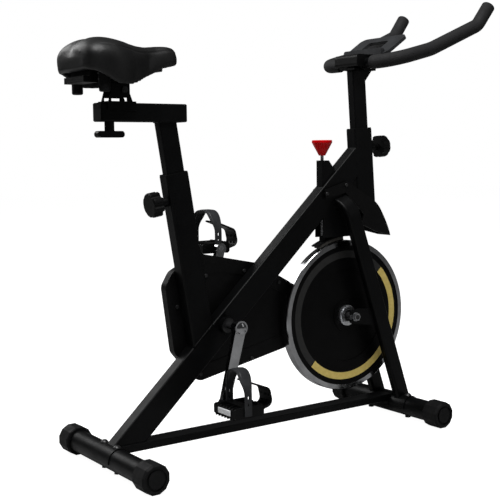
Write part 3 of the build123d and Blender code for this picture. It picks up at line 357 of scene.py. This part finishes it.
def tube(name, points, radius_at, material, body, closed=False, sides=12):
    """Round tube along points; radius_at gives its radius from the share of the way along."""
    verts = []
    frames = loop_frames(points, closed)
    count = len(frames)
    for i, (point, u, v) in enumerate(frames):
        radius = radius_at(i / count)
        for k in range(sides):
            a = 2 * math.pi * k / sides
            verts.append(point + (u * math.cos(a) + v * math.sin(a)) * radius)
    faces = wall(count, sides, closed)
    if not closed:
        faces.append(tuple(range(sides)))
        faces.append(tuple((count - 1) * sides + k for k in range(sides)))
    return piece(name, verts, faces, material, body)


def rounded_loop(centre, x_way, y_way, half_x, half_y, corner, steps=6, straight=10):
    """Points round a rounded rectangle."""
    points = []
    corners = ((1, 1, 0), (-1, 1, 90), (-1, -1, 180), (1, -1, 270))
    for index, (sx, sy, start) in enumerate(corners):
        for k in range(steps + 1):
            a = math.radians(start + 90 * k / steps)
            x = sx * (half_x - corner) + corner * math.cos(a)
            y = sy * (half_y - corner) + corner * math.sin(a)
            points.append(centre + x_way * x + y_way * y)
        nx, ny, _ = corners[(index + 1) % 4]
        last = points[-1]
        a = math.radians(start + 90)
        x = nx * (half_x - corner) + corner * math.cos(a)
        y = ny * (half_y - corner) + corner * math.sin(a)
        target = centre + x_way * x + y_way * y
        for k in range(1, straight):
            points.append(last.lerp(target, k / straight))
    return points


WELD_RADIUS = 1.7 * MM
WELD_RIPPLE = 3.2 * MM


def weld(name, centre, x_way, y_way, half_x, half_y, body, corner=4 * MM):
    """Rippled weld bead round the foot of a tube."""
    points = rounded_loop(centre, x_way, y_way, half_x, half_y, corner, straight=24)
    ripples = 2 * math.pi * int(4 * (half_x + half_y) / WELD_RIPPLE)
    return tube(name, points, lambda t: WELD_RADIUS * (1 + 0.14 * math.sin(ripples * t)),
                "frame_black", body, closed=True, sides=10)


def ring_band(name, centre, inner, outer, y0, y1, start, end, material, body, slot, steps=96):
    """Thin curved slab in the wheel's plane, between two radii and two angles in degrees."""
    verts = []
    for i in range(steps + 1):
        a = math.radians(start + (end - start) * i / steps)
        way = Vector((math.cos(a), 0, math.sin(a)))
        for radius, y in ((inner, y0), (outer, y0), (outer, y1), (inner, y1)):
            verts.append(centre + way * radius + ACROSS * y)
    faces = wall(steps + 1, 4)
    faces += [(0, 1, 2, 3), tuple(4 * steps + k for k in (3, 2, 1, 0))]
    return piece(name, verts, faces, material, body, smooth=False)


# ---- Wheel ----
RING_INNER, RING_OUTER = 147 * MM, 165 * MM
RING_THICK = 0.35 * MM
GOLD_ARC = (-134, 44)        # degrees up from straight ahead, in the wheel's plane
GREY_ARC = (44.6, 225.4)


def wheel_rings():
    """Two-tone painted ring on each face of the disc."""
    low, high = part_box("flywheel_disc")
    centre = Vector((WHEEL.x, 0, WHEEL.z))
    for side, face in (("right", low.y), ("left", high.y)):
        y0, y1 = face - RING_THICK, face + RING_THICK
        for name, arc, material in (("gold", GOLD_ARC, "gold"), ("grey", GREY_ARC, "dark_grey")):
            ring_band(f"ring_{name}_{side}", centre, RING_INNER, RING_OUTER, y0, y1, *arc,
                      material, "flywheel", "wheel_black")


# ---- Saddle ----
# Stations from the tail to the nose: share of the length, half width,
# and the top and the lower edge in mm above the tilt bolt.
SADDLE_STATIONS = (
    (0.000, 64, 80, 35), (0.020, 79, 88, 33), (0.057, 89.5, 96, 30), (0.12, 95, 104, 23),
    (0.18, 96.5, 107.5, 14), (0.24, 96.5, 108, 6), (0.30, 95, 106.5, 3), (0.41, 83, 102, 4),
    (0.51, 61, 97.5, 12), (0.64, 38, 94.5, 26), (0.74, 30, 96.5, 35), (0.82, 27.5, 99, 43),
    (0.90, 25.5, 100, 49), (0.965, 20, 94, 54), (1.000, 11, 78, 58))
WIDEST = 0.46            # height of the widest point, as a share of the way from the lower edge to the top
SKIRT = 9 * MM           # thickness of the padded skirt
SWELL_ROOM = 3.5 * MM    # the form starts this much smaller and then swells
SWELL_LIMIT = 3.2 * MM
VOXEL = 4.5 * MM
PRESSURE = 4.0
NOSE_EXTRA = 7 * MM      # the sewn cover reaches this far past the foam's nose
PAD_FLOOR = 52.6 * MM    # top of the pan above the tilt bolt
CLOSED_TAIL = 0.06       # share of the length with no hollow underneath
CLEFT_WIDTH, CLEFT_DEPTH, CLEFT_SHARE = 14 * MM, 4 * MM, 0.14
GROOVE_NOSE, GROOVE_TAIL = 1.5 * MM, 2.0 * MM    # groove depth at the nose, and what the tail adds


def smooth_table(stations, share):
    """Values at a share of the length, by a smooth curve through the stations."""
    keys = [row[0] for row in stations]
    index = max(i for i in range(len(keys) - 1) if keys[i] <= share or i == 0)
    rows = [stations[max(0, min(len(stations) - 1, index + k))] for k in (-1, 0, 1, 2)]
    t = (share - rows[1][0]) / (rows[2][0] - rows[1][0])
    values = []
    for column in range(1, len(stations[0])):
        p0, p1, p2, p3 = (row[column] for row in rows)
        k0, k1, k2, k3 = (row[0] for row in rows)
        m1 = (p2 - p0) / max(k2 - k0, 1e-6) * (k2 - k1)
        m2 = (p3 - p1) / max(k3 - k1, 1e-6) * (k2 - k1)
        values.append((2 * t ** 3 - 3 * t ** 2 + 1) * p1 + (t ** 3 - 2 * t ** 2 + t) * m1
                      + (-2 * t ** 3 + 3 * t ** 2) * p2 + (t ** 3 - t ** 2) * m2)
    return values


def saddle_section(share):
    """Half width, crown height, widest height and lower edge height at a share of the length."""
    half, top, low = (v * MM for v in smooth_table(SADDLE_STATIONS, share))
    top, low = TILT.z + top, TILT.z + low
    return half, top, low + WIDEST * (top - low), low


def saddle_outside(share, half, top, mid, low):
    """Right half of a section, from the lower edge up the side and over to the middle of the top."""
    down, over = 7, 13
    points = []
    for k in range(down):
        t = 1 - k / down
        points.append((half * (1 - 0.05 * t * t), mid - t * (mid - low)))
    depth = GROOVE_NOSE + GROOVE_TAIL * max(0.0, 1 - share / 0.5)
    for k in range(over + 1):
        a = math.pi / 2 * k / over
        y = half * max(0.0, math.cos(a)) ** (2 / 2.7)
        groove = depth * math.exp(-((y / CLEFT_WIDTH) ** 2))
        points.append((y, mid + (top - mid) * math.sin(a) ** (2 / 2.15) - groove))
    return points


def saddle_inside(share, half, top, low):
    """Right half of the hollow under a section, from the skirt's lower edge up to its roof."""
    steps = 7
    hollow = min(TILT.z + PAD_FLOOR, top - 12 * MM) if share > CLOSED_TAIL else low
    roof = max(low + 1.5 * MM, hollow)
    y = max(half * 0.95 - SKIRT, half * 0.3)
    return [(y, low + (roof - low) * (0.08 + 0.92 * k / steps)) for k in range(steps + 1)]


def saddle_mesh():
    """Points and faces of the saddle: crowned top, bulging sides, skirt and hollow underside."""
    low_box, high_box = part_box("saddle_pad")
    tail = low_box.x + SWELL_ROOM
    length = high_box.x - low_box.x - 2 * SWELL_ROOM + NOSE_EXTRA
    rows = []
    stations = 56
    for i in range(stations + 1):
        share = 0.5 - 0.5 * math.cos(math.pi * i / stations)
        half, top, mid, low = saddle_section(share)
        half, top = half - SWELL_ROOM, top - SWELL_ROOM
        outside = saddle_outside(share, half, top, mid, low)
        inside = saddle_inside(share, half, top, low)
        section = [(-y, z) for y, z in outside] + list(reversed(outside[:-1]))
        section += inside + [(-y, z) for y, z in reversed(inside)]
        loop = [Vector((tail + length * share, y, z)) for y, z in section]
        for point in loop:
            cleft = math.exp(-((point.y / CLEFT_WIDTH) ** 2)) * max(0.0, 1 - share / CLEFT_SHARE)
            point.x += CLEFT_DEPTH * cleft
        rows.append(loop)
    count = len(rows[0])
    verts = [point for row in rows for point in row]
    faces = wall(stations + 1, count)
    faces += [tuple(reversed(range(count))), tuple(stations * count + k for k in range(count))]
    return verts, faces


def apply_modifiers(obj):
    """Bakes the modifiers into the mesh."""
    graph = bpy.context.evaluated_depsgraph_get()
    mesh = bpy.data.meshes.new_from_object(obj.evaluated_get(graph))
    obj.modifiers.clear()
    obj.data = mesh


def puff(obj, voxel, pressure, cap, frames=20):
    """Inflates a closed form a little as cloth; no point moves further than cap."""
    remesh = obj.modifiers.new("remesh", "REMESH")
    remesh.mode = "VOXEL"
    remesh.voxel_size = voxel
    apply_modifiers(obj)
    before = np.array([v.co for v in obj.data.vertices])
    cloth = obj.modifiers.new("cloth", "CLOTH")
    cloth.settings.use_pressure = True
    cloth.settings.uniform_pressure_force = pressure
    cloth.settings.effector_weights.gravity = 0.0
    cloth.settings.quality = 6
    cloth.settings.tension_stiffness = 25
    cloth.settings.bending_stiffness = 2.0
    scene = bpy.context.scene
    for number in range(1, frames + 1):
        scene.frame_set(number)
    graph = bpy.context.evaluated_depsgraph_get()
    moved = bpy.data.meshes.new_from_object(obj.evaluated_get(graph))
    after = np.array([v.co for v in moved.vertices])
    step = after - before
    size = np.linalg.norm(step, axis=1, keepdims=True)
    step *= np.minimum(1.0, cap / np.maximum(size, 1e-9))
    obj.modifiers.clear()
    for vertex, place in zip(obj.data.vertices, before + step):
        vertex.co = place
    bpy.data.meshes.remove(moved)
    scene.frame_set(1)


SEAM_ANGLE = 0.62        # how far over the shoulder the sewn seam runs, in radians from the side
SEAM_WIDTH, SEAM_DEPTH = 2.6 * MM, 1.3 * MM
SEAM_START, SEAM_FADE = 0.12, 0.1    # shares of the length behind which the seam fades out


def seam_line(points):
    """How near each point lies to the sewn seam, from 0 to 1."""
    low_box, high_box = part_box("saddle_pad")
    near = np.zeros(len(points))
    for i, (x, y, z) in enumerate(points):
        share = min(1.0, max(0.0, (x - low_box.x) / (high_box.x - low_box.x)))
        half, top, mid, _ = saddle_section(share)
        angle = math.atan2((z - mid) / (top - mid), abs(y) / max(half, 1e-4))
        if z > mid:
            fade = min(1.0, max(0.0, (share - SEAM_START) / SEAM_FADE))
            near[i] = fade * math.exp(-(((angle - SEAM_ANGLE) * half / SEAM_WIDTH) ** 2))
    return near


def saddle():
    """Padded saddle cover with a sewn seam round its shoulder."""
    verts, faces = saddle_mesh()
    obj = piece("saddle_cushion", verts, faces, "saddle_vinyl", "saddle")
    puff(obj, VOXEL, PRESSURE, SWELL_LIMIT)
    smooth = obj.modifiers.new("smooth", "SMOOTH")
    smooth.factor = 0.5
    smooth.iterations = 5
    finer = obj.modifiers.new("finer", "SUBSURF")
    finer.levels = 1
    finer.render_levels = 1
    apply_modifiers(obj)
    points = np.array([v.co for v in obj.data.vertices])
    normals = np.array([v.normal for v in obj.data.vertices])
    points -= normals * (seam_line(points) * SEAM_DEPTH)[:, None]
    for vertex, place in zip(obj.data.vertices, points):
        vertex.co = place
    obj.data.materials.clear()
    obj.data.materials.append(MATERIALS["saddle_vinyl"])
    obj.data.shade_smooth()
    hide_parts("saddle_pad")


# ---- Pedals ----
STRAP_STEP = 3.2 * MM
STRAP_THICK = 2.6 * MM
STRAP_BEND = 16 * MM                 # reach of each rounded bend along its two runs
STRAP_END, STRAP_BROAD = 9.5, 6.5    # half width in mm at the slotted ends, and what the top adds
STRAP_ASLANT = 5 * MM
STRAP_COLUMNS = (-1, -0.62, -0.54, -0.16, 0.16, 0.54, 0.62, 1)    # across it, as shares of half its width
STRAP_RIBS = (0, 0, 0.9, 0.9, 0.9, 0.9, 0, 0)                     # height of each column in mm
SLOT_COLUMN = 3


def strap_points(centre, half_width, base, shoulder, top):
    """Path of a foot strap over one pedal, from the inner side to the outer side."""
    profile = ((-half_width, base), (-half_width, shoulder), (-20 * MM, top),
               (20 * MM, top), (half_width, shoulder), (half_width, base))
    corners = [Vector((0, y, z)) for y, z in profile]
    points = [corners[0]]
    for a, b, c in zip(corners, corners[1:], corners[2:]):
        first = b.lerp(a, min(0.5, STRAP_BEND / (b - a).length))
        last = b.lerp(c, min(0.5, STRAP_BEND / (c - b).length))
        for k in range(9):
            t = k / 8
            points.append(first * (1 - t) ** 2 + b * 2 * t * (1 - t) + last * t ** 2)
    points.append(corners[-1])
    return [centre + point for point in points]


def even(points, step):
    """Points spaced evenly along a path."""
    result = [points[0]]
    carry = 0.0
    for a, b in zip(points, points[1:]):
        length = (b - a).length
        while carry + step <= length + 1e-9:
            carry += step
            result.append(a.lerp(b, carry / length))
        carry -= length
    return result


def strap(side):
    """Moulded strap over the toes: narrow slotted ends and a broad ribbed top, set a little aslant."""
    low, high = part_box(f"pedal_{side}_strap")
    centre = Vector(((low.x + high.x) / 2, (low.y + high.y) / 2, 0))
    outward = math.copysign(1, centre.y)
    half_width = (high.y - low.y) / 2 - 1.5 * MM
    path = strap_points(centre, half_width, low.z, high.z - 40 * MM, high.z - 1.5 * MM)
    points = even(path, STRAP_STEP)
    verts, faces = [], []
    last = len(points) - 1
    for i, point in enumerate(points):
        before, after = points[max(0, i - 1)], points[min(last, i + 1)]
        normal = Vector((1, 0, 0)).cross(after - before).normalized()
        share = min(1.0, max(0.0, (min(i, last - i) / last - 0.20) / 0.18))
        broad = share * share * (3 - 2 * share)
        half = (STRAP_END + STRAP_BROAD * broad) * MM
        aslant = -STRAP_ASLANT * outward * (point.y - centre.y) / half_width
        for column, rib in zip(STRAP_COLUMNS, STRAP_RIBS):
            verts.append(point + Vector((column * half + aslant, 0, 0)) + normal * (rib * broad * MM))
    columns = len(STRAP_COLUMNS)
    for i in range(last):
        slotted = i % 5 in (2, 3) and 3 < min(i, last - i) < 0.2 * last
        for k in range(columns - 1):
            if not (slotted and k == SLOT_COLUMN):
                a, b = i * columns + k, (i + 1) * columns + k
                faces.append((a, a + 1, b + 1, b))
    obj = piece(f"foot_strap_{side}", verts, faces, "plastic_grey", f"pedal_{side}")
    thick = obj.modifiers.new("thickness", "SOLIDIFY")
    thick.thickness = STRAP_THICK
    thick.offset = 0
    edge = obj.modifiers.new("edge", "BEVEL")
    edge.width = 0.6 * MM
    edge.segments = 2
    apply_modifiers(obj)
    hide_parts(f"pedal_{side}_strap")


REFLECTOR_HALF_W, REFLECTOR_HALF_H, REFLECTOR_CORNER = 24 * MM, 6.5 * MM, 2.2 * MM
REFLECTOR_SUNK = 0.4 * MM
REFLECTOR_RINGS = ((0, 0), (1.2, 0), (1.9, -0.9))    # height and growth of each outline in mm


def reflectors(side):
    """Reflectors let into the front and rear edges of a pedal."""
    low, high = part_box(f"pedal_{side}_body")
    mid_y, mid_z = (low.y + high.y) / 2, (low.z + high.z) / 2
    for name, x, way in (("front", high.x, 1), ("rear", low.x, -1)):
        centre = Vector((x - way * REFLECTOR_SUNK, mid_y, mid_z))
        rows = []
        for depth, grow in REFLECTOR_RINGS:
            loop = rounded_loop(centre + Vector((way * depth * MM, 0, 0)), ACROSS, Vector((0, 0, 1)),
                                REFLECTOR_HALF_W + grow * MM, REFLECTOR_HALF_H + grow * MM,
                                REFLECTOR_CORNER, 4, 3)
            rows.append(loop)
        count = len(rows[0])
        verts = [point for row in rows for point in row]
        faces = wall(len(rows), count)
        faces += [tuple(range(count)), tuple(2 * count + k for k in range(count))]
        piece(f"reflector_{side}_{name}", verts, faces, "reflector", f"pedal_{side}",
              smooth=False)


# ---- Frame details ----
BEAM_SLOPE = math.radians(42.7)
TUBE_HALF_H, TUBE_HALF_W = 29 * MM, 17 * MM
POST_HALF_X, POST_HALF_Y, POST_CORNER = 23 * MM, 12.4 * MM, 3 * MM


def welds():
    """Beads where the seat tube stands on the beam and the slider on its post."""
    forward = Vector((1, 0, 0))
    slider_low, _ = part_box("seat_slider")
    post = middle("seat_post")
    top = post + SEAT_UP * ((slider_low.z - post.z) / SEAT_UP.z)
    weld("weld_slider", top, forward, ACROSS, POST_HALF_X, POST_HALF_Y, "seat_height_post", POST_CORNER)
    beam = Vector((math.cos(BEAM_SLOPE), 0, math.sin(BEAM_SLOPE)))
    normal = Vector((-math.sin(BEAM_SLOPE), 0, math.cos(BEAM_SLOPE)))
    face = Vector((CRANK.x, 0, CRANK.z)) + normal * TUBE_HALF_H
    foot = post + SEAT_UP * ((face - post).dot(normal) / SEAT_UP.dot(normal))
    along = TUBE_HALF_H / beam.cross(SEAT_UP).length
    weld("weld_seat_tube", foot, beam, ACROSS, along + 0.5 * MM, TUBE_HALF_W, "frame")


# ---- Stage ----
FLOOR_REACH = 14.0
FLOOR_SEEN = 0.97        # brightness of the floor to the eye, on top of the light that falls on it
SURROUND_LIGHT = 0.06    # strength of the surroundings as a light and in reflections
CAMERA_PLACE = (-1.4762, -1.9490, 0.6938)
CAMERA_TURNS = (54.654, -5.660, -0.639)    # yaw from straight ahead, pitch and roll in degrees
CAMERA_LENS = 72.77
CAMERA_SHIFT = (-0.0047, 0.0059)


def floor():
    """Plain pale studio floor just under the feet."""
    low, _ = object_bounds()
    mesh = bpy.data.meshes.new("floor")
    corners = [(x * FLOOR_REACH, y * FLOOR_REACH, 0) for x, y in ((-1, -1), (1, -1), (1, 1), (-1, 1))]
    mesh.from_pydata(corners, [], [(0, 1, 2, 3)])
    obj = bpy.data.objects.new("floor", mesh)
    obj.location.z = low.z - 0.3 * MM
    bpy.context.scene.collection.objects.link(obj)
    s = Surface("studio_floor", (0.40, 0.40, 0.40), 0.7, specular=0.05)
    s.colors(s.noise(1.5), (0.395, 0.395, 0.395), (0.405, 0.405, 0.405))
    s.set("Emission Color", (1, 1, 1, 1))
    s.link(seen_directly(s.tree, 0.0, FLOOR_SEEN), s.shader.inputs["Emission Strength"])
    mesh.materials.append(s.material)
    obj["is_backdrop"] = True


def seen_directly(tree, otherwise, value):
    """The number value where it is seen directly, and the number otherwise for light and reflections."""
    path = tree.nodes.new("ShaderNodeLightPath")
    spread = tree.nodes.new("ShaderNodeMapRange")
    spread.inputs["To Min"].default_value = otherwise
    spread.inputs["To Max"].default_value = value
    tree.links.new(path.outputs["Is Camera Ray"], spread.inputs["Value"])
    return spread.outputs["Result"]


def softbox(name, place, target, width, height, power):
    """Rectangular lamp at a place, turned towards a target."""
    data = bpy.data.lights.new(name, "AREA")
    data.shape = "RECTANGLE"
    data.size, data.size_y = width, height
    data.energy = power
    obj = bpy.data.objects.new(name, data)
    obj.location = place
    obj.rotation_euler = (Vector(target) - Vector(place)).to_track_quat("-Z", "Y").to_euler()
    bpy.context.scene.collection.objects.link(obj)


def light():
    """White surroundings and three soft lamps."""
    world = bpy.data.worlds.new("studio")
    world.use_nodes = True
    background = world.node_tree.nodes["Background"]
    background.inputs["Color"].default_value = (1.0, 1.0, 1.0, 1)
    strength = seen_directly(world.node_tree, SURROUND_LIGHT, 1.0)
    world.node_tree.links.new(strength, background.inputs["Strength"])
    scene = bpy.context.scene
    scene.world = world
    scene.view_settings.view_transform = "Standard"
    softbox("key", (-0.9, -0.9, 3.4), (0, 0, 0.5), 2.2, 1.6, 150)
    softbox("fill", (2.6, -2.6, 1.8), (0, 0, 0.5), 1.2, 2.2, 7)
    softbox("back", (-1.4, 3.0, 2.6), (0, 0, 0.6), 2.2, 1.6, 60)


def camera():
    """Camera at the viewing angle of the pictured bike: from behind and to the right."""
    yaw, pitch, roll = (math.radians(v) for v in CAMERA_TURNS)
    ahead = Vector((math.cos(yaw) * math.cos(pitch), math.sin(yaw) * math.cos(pitch), math.sin(pitch)))
    level = Vector((math.sin(yaw), -math.cos(yaw), 0))
    over = level.cross(ahead)
    right = level * math.cos(roll) + over * math.sin(roll)
    up = over * math.cos(roll) - level * math.sin(roll)
    data = bpy.data.cameras.new("camera")
    data.lens = CAMERA_LENS
    data.shift_x, data.shift_y = CAMERA_SHIFT
    obj = bpy.data.objects.new("camera", data)
    turned = Matrix((right, up, -ahead)).transposed().to_4x4()
    obj.matrix_world = Matrix.Translation(CAMERA_PLACE) @ turned
    bpy.context.scene.collection.objects.link(obj)
    bpy.context.scene.camera = obj


camera()
paint_frame()
wheel_rings()
saddle()
for side in ("right", "left"):
    strap(side)
    reflectors(side)
welds()
floor()
light()
